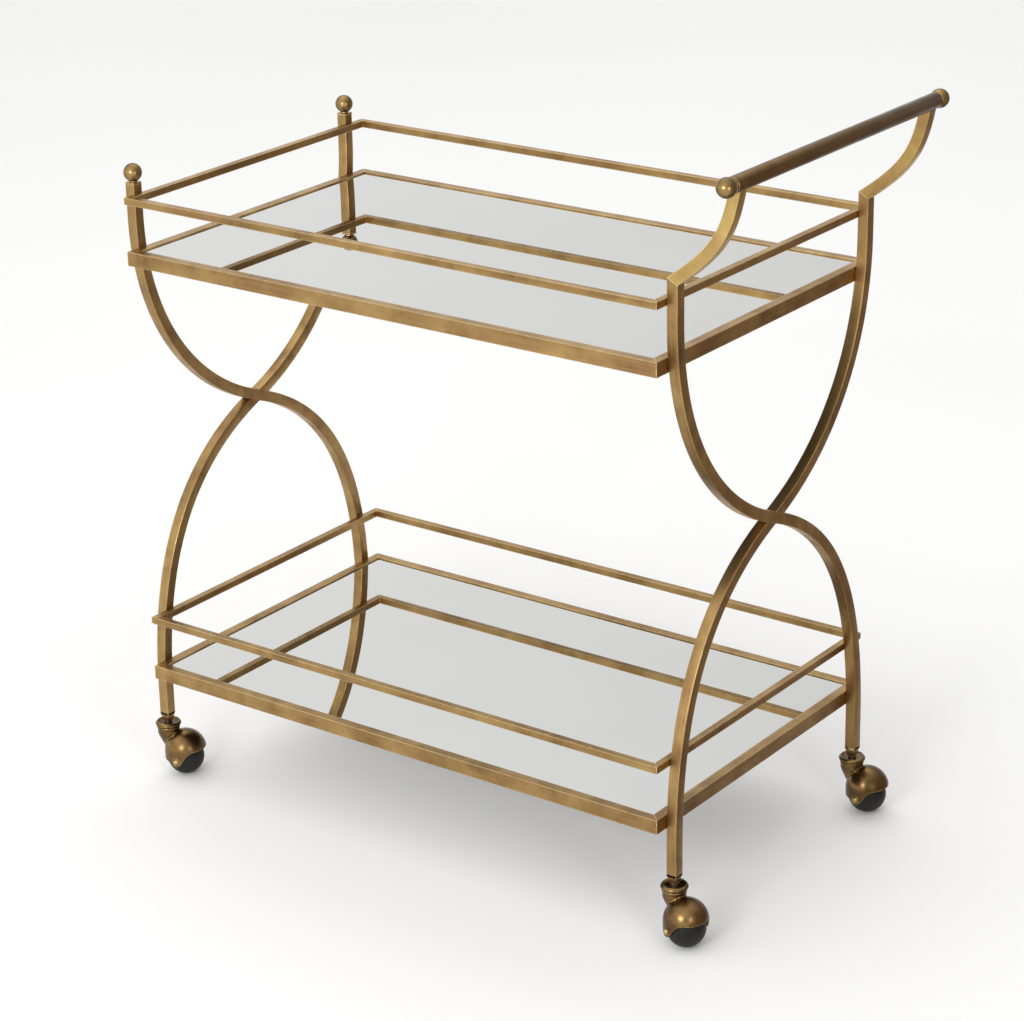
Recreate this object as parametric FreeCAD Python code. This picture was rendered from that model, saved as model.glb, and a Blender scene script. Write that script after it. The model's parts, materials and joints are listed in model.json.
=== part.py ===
import FreeCAD, Part
import math
import os

os.makedirs("parts", exist_ok=True)
V = FreeCAD.Vector

# Two-tier bar cart. Millimetres, +Z up, floor at Z = 0. X runs along the cart with the push
# handle at +X and the finial posts at -X; Y runs across it, with the front at -Y. The origin
# lies on the floor, halfway along and across the whole cart.

# ---- Driving dimensions: shelves and gallery rails
shelf_length = 813.0
shelf_width = 483.0
upper_shelf_top = 750.0
lower_shelf_top = 169.0
frame_height = 19.0
frame_bar_width = 13.0
frame_wall = 1.5
ledge_width = 8.0
ledge_thickness = 2.0
mirror_thickness = 4.0
mirror_recess = 2.0
mirror_edge_gap = 1.2
mirror_edge_bevel = 1.0
board_thickness = 3.0
gallery_height = 71.5
rail_size = 9.5
rail_wall = 1.2

# ---- Driving dimensions: end legs, which cross in an X at each end of the cart
leg_size = 15.0
leg_wall = 1.5
leg_inset = 20.0
leg_bottom = 76.5
cross_height = 485.0
cross_angle = 20.5
bowl_top = 790.0
bowl_side_pull = 0.62
bowl_rise_pull = 0.49
arch_foot = 131.0
arch_side_pull = 0.69
arch_rise_pull = 0.55
foot_plug_height = 26.0
foot_taper_height = 12.0
foot_taper = 2.2
foot_hole_radius = 1.2
foot_hole_height = 4.0
edge_round = 0.8

# ---- Driving dimensions: finial posts
post_above_rail = 13.5
post_cap_thickness = 2.0
post_plug_depth = 8.0
ball_radius = 12.0
finial_neck_radius = 5.0
finial_neck_height = 1.5
stud_radius = 2.5
stud_length = 15.0
stud_in_ball = 8.0

# ---- Driving dimensions: push handle
kink_above_rail = 20.5
handle_reach = 83.0
handle_rise = 125.5
arm_start_angle = 36.0
arm_end_angle = 79.0
arm_start_pull = 0.52
arm_end_pull = 0.37
bar_radius = 10.0
bar_wall = 1.5
bar_overhang = 7.5
collar_radius = 9.0
collar_thickness = 2.0
collar_plug_depth = 12.0
ball_bite = 3.0

# ---- Driving dimensions: hooded ball casters
wheel_radius = 25.0
trail = 23.0
axle_radius = 2.5
axle_azimuth = -100.0
axle_head_radius = 3.7
axle_head_height = 1.8
hub_radius = 5.0
hub_gap = 0.8
seam_offset = 18.5
seam_groove = 0.5
hood_radius = 28.5
hood_wall = 2.0
hood_lift = 10.0
hood_edge = 14.0
skirt_drop = 1.5
skirt_run = 4.0
ear_root = 24.0
ear_tip_radius = 9.0
ear_tip_lift = 2.5
far_ear_root = 20.0
far_ear_tip_radius = 6.0
ear_tip_turn = 35.0
ear_pull = 8.0
neck_radius = 15.8
neck_step = 0.9
neck_lip = 3.0
neck_height = 10.5
neck_low_radius = 5.0
cap_radius = 17.5
cap_height = 6.0
cap_dish_radius = 13.0
cap_dish_depth = 1.8
stem_radius = 4.0
stem_insert = 20.0
stem_show = 1.5
stem_collar_radius = 5.0
stem_head_radius = 6.0
stem_head_height = 2.0
stem_floor_drop = 13.0
washer_inner_radius = 6.0
washer_radius = 12.5
washer_thickness = 1.6
headings = {"front_left": 21.0, "front_right": -18.5, "back_right": 5.0, "back_left": 12.0}

# ---- Clearances
swivel_gap = 0.3
running_clearance = 0.05
head_clearance = 0.4

# ---- Sizes worked out from the dimensions above
half_length = shelf_length / 2
half_width = shelf_width / 2
leg_centre_x = half_length + leg_size / 2
leg_centre_y = half_width - leg_inset - leg_size / 2
rail_top = upper_shelf_top + gallery_height
post_top = rail_top + post_above_rail
kink_height = rail_top + kink_above_rail
bar_x = leg_centre_x + handle_reach
bar_z = kink_height + handle_rise
bar_end = leg_centre_y + leg_size / 2 + bar_overhang
handle_end_x = bar_x + ball_radius
caster_end_x = leg_centre_x + cap_radius
cart_x = (caster_end_x - handle_end_x) / 2
cap_top = leg_bottom - stem_show
cap_bottom = cap_top - cap_height
neck_top = cap_bottom - swivel_gap
hood_inner = hood_radius - hood_wall
ball_centre = V(trail, 0, wheel_radius)
hood_centre = V(trail, 0, wheel_radius + hood_lift)
far_size = 3 * max(shelf_length, upper_shelf_top)
curve_samples = 16

X_AXIS = V(1, 0, 0)
Y_AXIS = V(0, 1, 0)
Z_AXIS = V(0, 0, 1)
ORIGIN = V(0, 0, 0)


def write(name, *solids):
    """Write one node, moved from the shelves' own centre to the cart's origin."""
    shape = solids[0] if len(solids) == 1 else Part.makeCompound(list(solids))
    shape = shape.copy()
    shape.translate(V(cart_x, 0, 0))
    shape.exportStep("parts/" + name + ".step")


def polygon_face(points):
    return Part.Face(Part.makePolygon(points + points[:1]))


def moved(shape, angle, place):
    """Copy turned about Z by an angle in degrees, then moved."""
    copy = shape.copy()
    copy.rotate(ORIGIN, Z_AXIS, angle)
    copy.translate(place)
    return copy


def cylinder(radius, start, end):
    return Part.makeCylinder(radius, (end - start).Length, start, end - start)


def revolved(points):
    """Solid of revolution about Z from (radius, height) corners."""
    face = polygon_face([V(r, 0, z) for r, z in points])
    return face.revolve(ORIGIN, Z_AXIS, 360)


def half_space(point, normal):
    """Block that fills everything on the side of a plane that its normal points to."""
    block = Part.makeBox(far_size, far_size, far_size, V(-far_size / 2, -far_size / 2, 0))
    block.Placement = FreeCAD.Placement(point, FreeCAD.Rotation(Z_AXIS, normal))
    return block


def rounded_edges(solid, radius, wanted):
    return solid.makeFillet(radius, [edge for edge in solid.Edges if wanted(edge)])


# ---- Mitred frames and rails
def bar_prism(outline, length, offset):
    """Extrude an (inward, up) outline along X, with its outer face at Y = -offset."""
    face = polygon_face([V(-length / 2, u - offset, z) for u, z in outline])
    return face.extrude(V(length, 0, 0))


def mitred_bar(outline, hollow, length, offset, corners):
    """Hollow bar with both ends mitred; the listed outline corners are rounded."""
    bar = bar_prism(outline, length, offset)

    def on_corner(edge):
        start = edge.Vertexes[0].Point
        along = edge.Length > length - edge_round
        return along and any((start - V(start.x, u - offset, z)).Length < edge_round / 2 for u, z in corners)

    bar = rounded_edges(bar, edge_round, on_corner)
    bar = bar.cut(bar_prism(hollow, length, offset))
    reach = max(u for u, z in outline)
    low = min(z for u, z in outline)
    high = max(z for u, z in outline)
    plan = [
        V(-length / 2, -offset, low),
        V(length / 2, -offset, low),
        V(length / 2 - reach, reach - offset, low),
        V(-length / 2 + reach, reach - offset, low),
    ]
    return bar.common(polygon_face(plan).extrude(V(0, 0, high - low)))


def write_ring(prefix, outline, hollow, corners):
    """Four mitred bars round the shelf's outer rectangle, one node each."""
    sides = [
        ("front", 0, shelf_length, half_width),
        ("right", 90, shelf_width, half_length),
        ("back", 180, shelf_length, half_width),
        ("left", 270, shelf_width, half_length),
    ]
    for side, angle, length, offset in sides:
        bar = mitred_bar(outline, hollow, length, offset, corners)
        write(prefix + "_" + side, moved(bar, angle, ORIGIN))


def write_shelf_frame(prefix, top):
    """Frame of rectangular tube with a ledge inside it that carries the board and mirror."""
    bottom = top - frame_height
    ledge_top = top - mirror_recess - mirror_thickness - board_thickness
    ledge_low = ledge_top - ledge_thickness
    ledge_reach = frame_bar_width + ledge_width
    outline = [
        (0, bottom),
        (frame_bar_width, bottom),
        (frame_bar_width, ledge_low),
        (ledge_reach, ledge_low),
        (ledge_reach, ledge_top),
        (frame_bar_width, ledge_top),
        (frame_bar_width, top),
        (0, top),
    ]
    inside = frame_bar_width - frame_wall
    hollow = [
        (frame_wall, bottom + frame_wall),
        (inside, bottom + frame_wall),
        (inside, top - frame_wall),
        (frame_wall, top - frame_wall),
    ]
    corners = [(0, bottom), (frame_bar_width, bottom), (frame_bar_width, top), (0, top)]
    write_ring(prefix, outline, hollow, corners)


def write_rail_ring(prefix, top):
    """Gallery rail of thin square tube."""
    bottom = top - rail_size
    outline = [(0, bottom), (rail_size, bottom), (rail_size, top), (0, top)]
    inside = rail_size - rail_wall
    hollow = [
        (rail_wall, bottom + rail_wall),
        (inside, bottom + rail_wall),
        (inside, top - rail_wall),
        (rail_wall, top - rail_wall),
    ]
    write_ring(prefix, outline, hollow, outline)


def shelf_plate(top, thickness):
    """Plate that drops into the frame, clear of it by the edge gap all round."""
    inner = frame_bar_width + mirror_edge_gap
    corner = V(inner - half_length, inner - half_width, top - thickness)
    return Part.makeBox(shelf_length - 2 * inner, shelf_width - 2 * inner, thickness, corner)


def write_shelf(level, top):
    write_shelf_frame(level + "_frame", top)
    write_rail_ring(level + "_gallery", top + gallery_height)
    mirror_top = top - mirror_recess
    mirror = shelf_plate(mirror_top, mirror_thickness)

    def on_top(edge):
        return all(abs(vertex.Z - mirror_top) < mirror_edge_bevel / 2 for vertex in edge.Vertexes)

    mirror = mirror.makeChamfer(mirror_edge_bevel, [edge for edge in mirror.Edges if on_top(edge)])
    write(level + "_mirror", mirror)
    write(level + "_backing_board", shelf_plate(mirror_top - mirror_thickness, board_thickness))


# ---- Curved square tube, drawn in a plane and given its depth along the plane's normal
def curve(*poles):
    """Bezier curve through the first and last pole; two poles make a straight line."""
    bezier = Part.BezierCurve()
    bezier.setPoles(list(poles))
    return bezier


def parallel_edge(path, distance, normal):
    """Edge beside a plane curve, at a distance measured square to it."""
    steps = [i / curve_samples for i in range(curve_samples + 1)]
    points = [path.value(t) + path.tangent(t)[0].cross(normal) * distance for t in steps]
    if path.Degree == 1:
        return Part.makeLine(points[0], points[-1])
    spline = Part.BSplineCurve()
    spline.interpolate(Points=points, InitialTangent=path.tangent(0)[0], FinalTangent=path.tangent(1)[0])
    return spline.toShape()


def end_point(path, t, distance, normal):
    return path.value(t) + path.tangent(t)[0].cross(normal) * distance


def ribbon(paths, half, normal, depth):
    """Band of even width along joined curves, extruded to a depth."""
    edges = [parallel_edge(path, side * half, normal) for side in (1, -1) for path in paths]
    for path, t in ((paths[0], 0), (paths[-1], 1)):
        edges.append(Part.makeLine(end_point(path, t, half, normal), end_point(path, t, -half, normal)))
    band = Part.Face(Part.Wire(Part.__sortEdges__(edges)))
    return band.extrude(normal * depth)


def square_bar(paths, normal):
    """Solid square bar centred on the curves."""
    bar = ribbon(paths, leg_size / 2, normal, leg_size)
    bar.translate(normal * (-leg_size / 2))
    return bar


def bore_of(paths, normal):
    """The hollow inside a square tube on the same curves."""
    bore = ribbon(paths, leg_size / 2 - leg_wall, normal, leg_size - 2 * leg_wall)
    bore.translate(normal * (leg_wall - leg_size / 2))
    return bore


# ---- End legs
def upper_paths(side, top):
    """From a leg's top down through the bowl to the crossing; side is -1 front, 1 back."""
    angle = math.radians(cross_angle)
    pull = bowl_side_pull * leg_centre_y
    rise = bowl_rise_pull * (bowl_top - cross_height)
    outer = side * leg_centre_y
    straight = curve(V(0, outer, top), V(0, outer, bowl_top))
    bowl = curve(
        V(0, outer, bowl_top),
        V(0, outer, bowl_top - rise),
        V(0, side * pull * math.cos(angle), cross_height + pull * math.sin(angle)),
        V(0, 0, cross_height),
    )
    return [straight, bowl]


def lower_paths(side, bottom):
    """From the crossing down through the arch to a leg's foot."""
    angle = math.radians(cross_angle)
    pull = arch_side_pull * leg_centre_y
    rise = arch_rise_pull * (cross_height - arch_foot)
    outer = side * leg_centre_y
    arch = curve(
        V(0, 0, cross_height),
        V(0, side * pull * math.cos(angle), cross_height - pull * math.sin(angle)),
        V(0, outer, arch_foot + rise),
        V(0, outer, arch_foot),
    )
    straight = curve(V(0, outer, arch_foot), V(0, outer, bottom))
    return [arch, straight]


def foot_trim(side):
    """Waste to cut from a leg's foot: the taper outside it, the stem's bore and the vent."""
    y = side * leg_centre_y
    half = leg_size / 2
    tip = half - foot_taper
    top = leg_bottom + foot_taper_height
    sections = []
    for reach, z in ((tip, leg_bottom), (half, top)):
        ring = [V(-reach, y - reach, z), V(reach, y - reach, z), V(reach, y + reach, z), V(-reach, y + reach, z)]
        sections.append(Part.makePolygon(ring + ring[:1]))
    block = Part.makeBox(2 * leg_size, 2 * leg_size, foot_taper_height, V(-leg_size, y - leg_size, leg_bottom))
    taper = block.cut(Part.makeLoft(sections, True, True))
    bore = cylinder(stem_radius, V(0, y, leg_bottom), V(0, y, leg_bottom + stem_insert))
    vent_z = leg_bottom + foot_hole_height
    vent = cylinder(foot_hole_radius, V(0, y, vent_z), V(leg_size, y, vent_z))
    return [taper, bore, vent]


def mitre_normal():
    """Square to the mitre between an upright leg and the handle arm's first stretch."""
    angle = math.radians((90 + arm_start_angle) / 2)
    return V(math.cos(angle), 0, math.sin(angle))


def leg(top_side, foot_side, has_arm):
    """One leg at X = 0. A side of None leaves out that half, which starts at the crossing."""
    top = kink_height + leg_size if has_arm else post_top - post_cap_thickness
    paths = []
    bore_paths = []
    if top_side is not None:
        paths += upper_paths(top_side, top)
        bore_paths += upper_paths(top_side, top)
    if foot_side is not None:
        paths += lower_paths(foot_side, leg_bottom)
        bore_paths += lower_paths(foot_side, leg_bottom + foot_plug_height)
    tube = square_bar(paths, X_AXIS).cut(bore_of(bore_paths, X_AXIS))
    if foot_side is not None:
        for waste in foot_trim(foot_side):
            tube = tube.cut(waste)
    if top_side is not None and has_arm:
        tube = tube.cut(half_space(V(0, 0, kink_height), mitre_normal()))
    return tube


def write_end(end, sign, has_arm):
    """One end's X: a leg that runs through and two half legs that butt against it."""
    place = V(sign * leg_centre_x, 0, 0)
    through = leg(-1, 1, has_arm)
    crossing = [upper_paths(-1, post_top)[1], lower_paths(1, leg_bottom)[0]]
    through_solid = ribbon(crossing, leg_size / 2, X_AXIS, leg_size)
    through_solid.translate(V(-leg_size / 2, 0, 0))
    write(end + "_leg_through", moved(through, 0, place))
    write(end + "_leg_upper", moved(leg(1, None, has_arm).cut(through_solid), 0, place))
    write(end + "_leg_lower", moved(leg(None, -1, has_arm).cut(through_solid), 0, place))


# ---- Ball ends, shared by the finials and the handle, built pointing up from Z = 0
def drilled_ball(height, neck_radius, neck_height):
    """Ball with its centre at a height above its seat, on a neck, drilled for a stud."""
    ball = Part.makeSphere(ball_radius, V(0, 0, height))
    ball = ball.common(half_space(V(0, 0, neck_height), Z_AXIS))
    if neck_radius:
        ball = ball.fuse(cylinder(neck_radius, ORIGIN, V(0, 0, height))).removeSplitter()
    return ball.cut(cylinder(stud_radius, ORIGIN, V(0, 0, stud_in_ball)))


def stud():
    return cylinder(stud_radius, V(0, 0, stud_in_ball - stud_length), V(0, 0, stud_in_ball))


def laid_along_y(shape, side, seat_y):
    """Turn a piece built pointing up so that it points out along Y from the bar's end."""
    copy = shape.copy()
    copy.rotate(ORIGIN, X_AXIS, -90 * side)
    copy.translate(V(bar_x, side * seat_y, bar_z))
    return copy


def write_finials():
    inner = leg_size - 2 * leg_wall
    cap = Part.makeBox(leg_size, leg_size, post_cap_thickness, V(-leg_size / 2, -leg_size / 2, -post_cap_thickness))
    cap = rounded_edges(cap, edge_round, lambda edge: abs(edge.tangentAt(edge.FirstParameter).z) > 0.5)
    plug_low = -post_cap_thickness - post_plug_depth
    plug = Part.makeBox(inner, inner, post_plug_depth, V(-inner / 2, -inner / 2, plug_low))
    cap = cap.fuse(plug).cut(cylinder(stud_radius, V(0, 0, plug_low), ORIGIN))
    sphere_seat = math.sqrt(ball_radius**2 - finial_neck_radius**2)
    ball = drilled_ball(finial_neck_height + sphere_seat, finial_neck_radius, finial_neck_height)
    caps = []
    for name, side in (("front", -1), ("back", 1)):
        place = V(-leg_centre_x, side * leg_centre_y, post_top)
        write("finial_" + name, moved(ball, 0, place))
        caps.append(moved(cap, 0, place))
    write("post_caps", *caps)


def write_handle():
    start = math.radians(arm_start_angle)
    end = math.radians(arm_end_angle)
    first = V(math.cos(start), 0, math.sin(start))
    last = V(math.cos(end), 0, math.sin(end))
    chord = math.hypot(handle_reach, handle_rise)
    bar = cylinder(bar_radius, V(bar_x, -bar_end, bar_z), V(bar_x, bar_end, bar_z))
    bore = cylinder(bar_radius - bar_wall, V(bar_x, -bar_end, bar_z), V(bar_x, bar_end, bar_z))
    write("handle_bar", bar.cut(bore))
    collar = cylinder(collar_radius, ORIGIN, V(0, 0, collar_thickness))
    collar = collar.fuse(cylinder(bar_radius - bar_wall, V(0, 0, -collar_plug_depth), ORIGIN))
    collar = collar.cut(cylinder(stud_radius, V(0, 0, -collar_plug_depth), V(0, 0, collar_thickness)))
    ball = drilled_ball(ball_radius - ball_bite, 0, 0)
    for name, side in (("front", -1), ("back", 1)):
        y = side * leg_centre_y
        kink = V(leg_centre_x, y, kink_height)
        top = V(bar_x, y, bar_z)
        run_in = curve(kink - first * leg_size, kink)
        sweep = curve(
            kink,
            kink + first * (chord * arm_start_pull),
            top - last * (chord * arm_end_pull),
            top,
        )
        arm = square_bar([run_in, sweep], Y_AXIS).cut(bore_of([run_in, sweep], Y_AXIS))
        arm = arm.cut(half_space(kink, -mitre_normal())).cut(bar)
        write("handle_arm_" + name, arm)
        write("handle_collar_" + name, laid_along_y(collar, side, bar_end))
        write("handle_ball_" + name, laid_along_y(ball, side, bar_end + collar_thickness))


def write_studs():
    """The four identical threaded studs that hold the balls on."""
    studs = []
    for side in (-1, 1):
        studs.append(moved(stud(), 0, V(-leg_centre_x, side * leg_centre_y, post_top)))
        studs.append(laid_along_y(stud(), side, bar_end + collar_thickness))
    write("ball_studs", *studs)


# ---- Casters, built about the swivel axis at X = Y = 0, trailing towards +X
def axle_direction():
    """Level unit vector from the ball's centre out through the hood's near ear."""
    azimuth = math.radians(axle_azimuth)
    return V(math.cos(azimuth), math.sin(azimuth), 0)


def on_axle(shape):
    """Place a piece built about Z, with +Z towards the ear, on the wheel's axle."""
    copy = shape.copy()
    copy.Placement = FreeCAD.Placement(ball_centre, FreeCAD.Rotation(Z_AXIS, axle_direction()))
    return copy


def wheel_pieces():
    """Ball wheel in two pieces that meet at a seam: the tread and the domed cap."""
    hub = hood_inner - hub_gap
    ball = Part.makeSphere(wheel_radius)
    ball = ball.fuse(cylinder(hub_radius, V(0, 0, -hub), V(0, 0, hub)))
    bore = cylinder(axle_radius + running_clearance, V(0, 0, -2 * wheel_radius), V(0, 0, 2 * wheel_radius))
    seam_radius = math.sqrt(wheel_radius**2 - seam_offset**2)
    groove = Part.makeTorus(seam_radius, seam_groove, V(0, 0, seam_offset))
    ball = ball.cut(bore).cut(groove)
    cap_side = half_space(V(0, 0, seam_offset), Z_AXIS)
    return on_axle(ball.cut(cap_side)), on_axle(ball.common(cap_side))


def axle():
    """Headed pin that is fast in the hood; the wheel turns on it."""
    end = V(0, 0, hood_radius)
    pin = cylinder(axle_radius, -end, end)
    dome = (axle_head_radius**2 + axle_head_height**2) / (2 * axle_head_height)
    head = Part.makeSphere(dome, V(0, 0, axle_head_height - dome)).common(half_space(ORIGIN, Z_AXIS))
    head.translate(end)
    far_head = head.copy()
    far_head.rotate(ORIGIN, X_AXIS, 180)
    return on_axle(pin.fuse(head).fuse(far_head).removeSplitter())


def hood_side(direction, root, tip_radius, tip_lift):
    """Block that keeps one side of the hood, from the ball's middle out along the axle.

    Its lower outline runs level over the open side, hangs down round the axle's end as a
    rounded ear and goes on level, lower down, over the side under the neck.
    """
    turn = math.radians(ear_tip_turn)
    lead = axle_direction().cross(Z_AXIS) * -1
    far = 2 * hood_radius

    def at(u, z):
        return ball_centre + lead * u + V(0, 0, z)

    reach = tip_radius * math.cos(turn)
    low = tip_lift - tip_radius * math.sin(turn)
    flank = curve(
        at(root, hood_edge),
        at(root - ear_pull, hood_edge),
        at(reach + ear_pull * math.sin(turn), low + ear_pull * math.cos(turn)),
        at(reach, low),
    )
    tip = Part.Arc(at(reach, low), at(0, tip_lift - tip_radius), at(-reach, low))
    corners = [
        at(-reach, low),
        at(-reach - skirt_run, -skirt_drop),
        at(-far, -skirt_drop),
        at(-far, far),
        at(far, far),
        at(far, hood_edge),
        at(root, hood_edge),
    ]
    edges = [flank.toShape(), tip.toShape()]
    edges += [Part.makeLine(start, end) for start, end in zip(corners, corners[1:])]
    outline = Part.Face(Part.Wire(Part.__sortEdges__(edges)))
    return outline.extrude(direction * far)


def capsule(radius):
    """Ball of a radius about the hood's centre, carried straight down past the wheel."""
    ball = Part.makeSphere(radius, hood_centre)
    return ball.fuse(cylinder(radius, hood_centre - V(0, 0, 2 * hood_radius), hood_centre))


def washer_seat():
    """Recess in the top of the neck that the swivel's thrust washer turns in."""
    depth = washer_thickness - swivel_gap + head_clearance
    low = V(0, 0, neck_top - depth)
    outer = cylinder(washer_radius + head_clearance, low, V(0, 0, neck_top))
    return outer.cut(cylinder(washer_inner_radius - head_clearance, low, V(0, 0, neck_top)))


def hood():
    """Cast hood: a dome over the ball, an ear at each end of the axle, and the swivel neck."""
    direction = axle_direction()
    keep = hood_side(direction, ear_root, ear_tip_radius, ear_tip_lift)
    keep = keep.fuse(hood_side(-direction, far_ear_root, far_ear_tip_radius, 0))
    dome = capsule(hood_radius).common(keep)
    neck_low = neck_top - neck_height
    waist = neck_radius - neck_step
    neck = revolved(
        [
            (0, neck_top),
            (neck_radius, neck_top),
            (neck_radius, neck_top - neck_lip),
            (waist, neck_top - neck_lip - neck_step),
            (waist, neck_low),
            (neck_low_radius, hood_centre.z),
            (0, hood_centre.z),
        ]
    )
    floor_z = neck_top - stem_floor_drop
    relief_radius = stem_head_radius + head_clearance
    relief_low = floor_z - swivel_gap - stem_head_height - head_clearance
    relief = revolved(
        [
            (0, hood_centre.z),
            (neck_low_radius / 2, hood_centre.z),
            (relief_radius, relief_low),
            (relief_radius, floor_z),
            (0, floor_z),
        ]
    )
    shell = dome.fuse(neck).cut(capsule(hood_inner)).cut(relief)
    shell = shell.cut(cylinder(stem_radius + running_clearance, V(0, 0, relief_low), V(0, 0, neck_top)))
    shell = shell.cut(washer_seat())
    pin_hole = cylinder(axle_radius, V(0, 0, -2 * hood_radius), V(0, 0, 2 * hood_radius))
    return shell.cut(on_axle(pin_hole))


def bearing_cap():
    """Round cap with a rolled rim and a dished top, fast on the stem."""
    rim = cap_height / 2
    middle = cap_bottom + rim
    disc = revolved(
        [
            (stem_radius, cap_bottom),
            (cap_radius - rim, cap_bottom),
            (cap_radius - rim, cap_top),
            (cap_dish_radius, cap_top),
            (cap_dish_radius - cap_dish_depth, cap_top - cap_dish_depth),
            (stem_radius, cap_top - cap_dish_depth),
        ]
    )
    roll = Part.makeTorus(cap_radius - rim, rim, V(0, 0, middle))
    outside = revolved(
        [
            (cap_radius - rim, cap_bottom),
            (cap_radius, cap_bottom),
            (cap_radius, cap_top),
            (cap_radius - rim, cap_top),
        ]
    )
    return disc.fuse(roll.common(outside)).removeSplitter()


def stem():
    """Stem held in the leg's foot, with a collar above the cap and a head below the neck's floor."""
    head_top = neck_top - stem_floor_drop - swivel_gap
    shaft = cylinder(stem_radius, V(0, 0, head_top), V(0, 0, leg_bottom + stem_insert))
    collar = cylinder(stem_collar_radius, V(0, 0, cap_top - cap_dish_depth), V(0, 0, leg_bottom))
    head = cylinder(stem_head_radius, V(0, 0, head_top - stem_head_height), V(0, 0, head_top))
    return shaft.fuse(collar).fuse(head).removeSplitter()


def washer():
    """Thrust washer, fast against the cap's underside."""
    low = V(0, 0, cap_bottom - washer_thickness)
    top = V(0, 0, cap_bottom)
    return cylinder(washer_radius, low, top).cut(cylinder(washer_inner_radius, low, top))


def write_casters():
    tread, dome = wheel_pieces()
    turning = [("hood", hood()), ("wheel", tread), ("wheel_cap", dome), ("axle", axle())]
    cap = bearing_cap()
    stems = []
    washers = []
    for corner, heading in headings.items():
        along = "front" if corner.startswith("front") else "back"
        x = leg_centre_x if corner.endswith("right") else -leg_centre_x
        y = -leg_centre_y if along == "front" else leg_centre_y
        place = V(x, y, 0)
        for part, shape in turning:
            write("caster_" + part + "_" + corner, moved(shape, heading, place))
        write("caster_cap_" + corner, moved(cap, 0, place))
        stems.append(moved(stem(), 0, place))
        washers.append(moved(washer(), 0, place))
    write("caster_stems", *stems)
    write("caster_washers", *washers)


write_shelf("upper", upper_shelf_top)
write_shelf("lower", lower_shelf_top)
write_end("left", -1, False)
write_end("right", 1, True)
write_finials()
write_handle()
write_studs()
write_casters()
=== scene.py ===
import json
import math

import bmesh
import bpy
from mathutils import Matrix, Vector


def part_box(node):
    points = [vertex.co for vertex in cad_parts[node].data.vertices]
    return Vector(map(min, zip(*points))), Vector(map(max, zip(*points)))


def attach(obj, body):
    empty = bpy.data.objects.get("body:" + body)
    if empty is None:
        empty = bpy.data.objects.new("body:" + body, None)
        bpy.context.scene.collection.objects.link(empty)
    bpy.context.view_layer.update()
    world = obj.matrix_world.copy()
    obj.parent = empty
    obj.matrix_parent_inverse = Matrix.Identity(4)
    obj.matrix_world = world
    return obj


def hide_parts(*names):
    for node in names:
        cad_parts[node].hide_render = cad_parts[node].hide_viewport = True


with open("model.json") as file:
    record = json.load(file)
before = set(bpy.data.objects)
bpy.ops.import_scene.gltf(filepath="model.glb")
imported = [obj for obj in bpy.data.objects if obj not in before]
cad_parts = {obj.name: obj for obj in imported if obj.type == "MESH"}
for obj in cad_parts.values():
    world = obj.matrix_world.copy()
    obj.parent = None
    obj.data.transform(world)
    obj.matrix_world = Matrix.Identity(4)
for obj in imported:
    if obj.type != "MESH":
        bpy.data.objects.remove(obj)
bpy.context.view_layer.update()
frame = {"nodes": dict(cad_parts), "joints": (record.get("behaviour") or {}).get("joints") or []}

Y_AXIS = Vector((0, 1, 0))
Z_AXIS = Vector((0, 0, 1))
MM = 0.001

# ---- Sizes read from the frame
leg_low, leg_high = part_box("left_leg_through")
right_low, right_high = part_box("right_leg_through")
LEG_SIZE = round(leg_high.x - leg_low.x, 5)
LEG_X = {"left": (leg_low.x + leg_high.x) / 2, "right": (right_low.x + right_high.x) / 2}
LEG_Y = leg_high.y - LEG_SIZE / 2
LEG_FOOT = leg_low.z
bar_low, bar_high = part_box("handle_bar")
BAR = (bar_low + bar_high) / 2
BAR_RADIUS = (bar_high.z - bar_low.z) / 2
BAR_END = bar_high.y
ball_low, ball_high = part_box("handle_ball_back")
BALL_RADIUS = (ball_high.z - ball_low.z) / 2
POST_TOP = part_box("finial_back")[0].z
cap_low, cap_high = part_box("caster_cap_front_left")
wheel_joints = {j["name"]: j for j in frame["joints"]}

# ---- The legs' and arms' curves
CROSS_Z = 0.485
CROSS_ANGLE = math.radians(20.5)
BOWL_TOP = 0.790
BOWL_SIDE = 0.62
BOWL_RISE = 0.49
ARCH_FOOT = 0.131
ARCH_SIDE = 0.69
ARCH_RISE = 0.55
KINK_ANGLE = math.radians(36)
ARM_END_ANGLE = math.radians(79)
ARM_START_PULL = 0.52
ARM_END_PULL = 0.37
MITRE_ANGLE = (math.pi / 2 + KINK_ANGLE) / 2
KINK_Z = right_high.z - LEG_SIZE / 2 / math.tan(MITRE_ANGLE)
EDGE_ROUND = 0.0011
FOOT_TAPER_HEIGHT = 0.012
FOOT_TAPER = 0.72
FOOT_HOLE_RADIUS = 0.0012
FOOT_HOLE_OFFSET = 0.45
FOOT_HOLE_LIFT = 0.004
POST_CAP_SEAT = 0.002
BURIED = 0.00012

# ---- How finely shapes are drawn
CIRCLE_PULL = 0.5523
CURVE_STEPS = 48
CORNER_STEPS = 4
START_RADIUS = 0.01
LATHE_STEPS = 64
FINE_LATHE_STEPS = 96
ROD_STEPS = 48
DRILL_STEPS = 24
MERGE_DISTANCE = 0.000002
SAME_HEIGHT = 0.0001
TUBE_SMOOTH_ANGLE = 35
BALL_SMOOTH_ANGLE = 40


# ---- Modelling helpers
def deselect():
    if bpy.context.object and bpy.context.object.mode != "OBJECT":
        bpy.ops.object.mode_set(mode="OBJECT")
    bpy.ops.object.select_all(action="DESELECT")


def activate(piece):
    deselect()
    piece.select_set(True)
    bpy.context.view_layer.objects.active = piece


def apply_place(piece):
    activate(piece)
    bpy.ops.object.transform_apply(location=True, rotation=True, scale=True)


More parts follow.
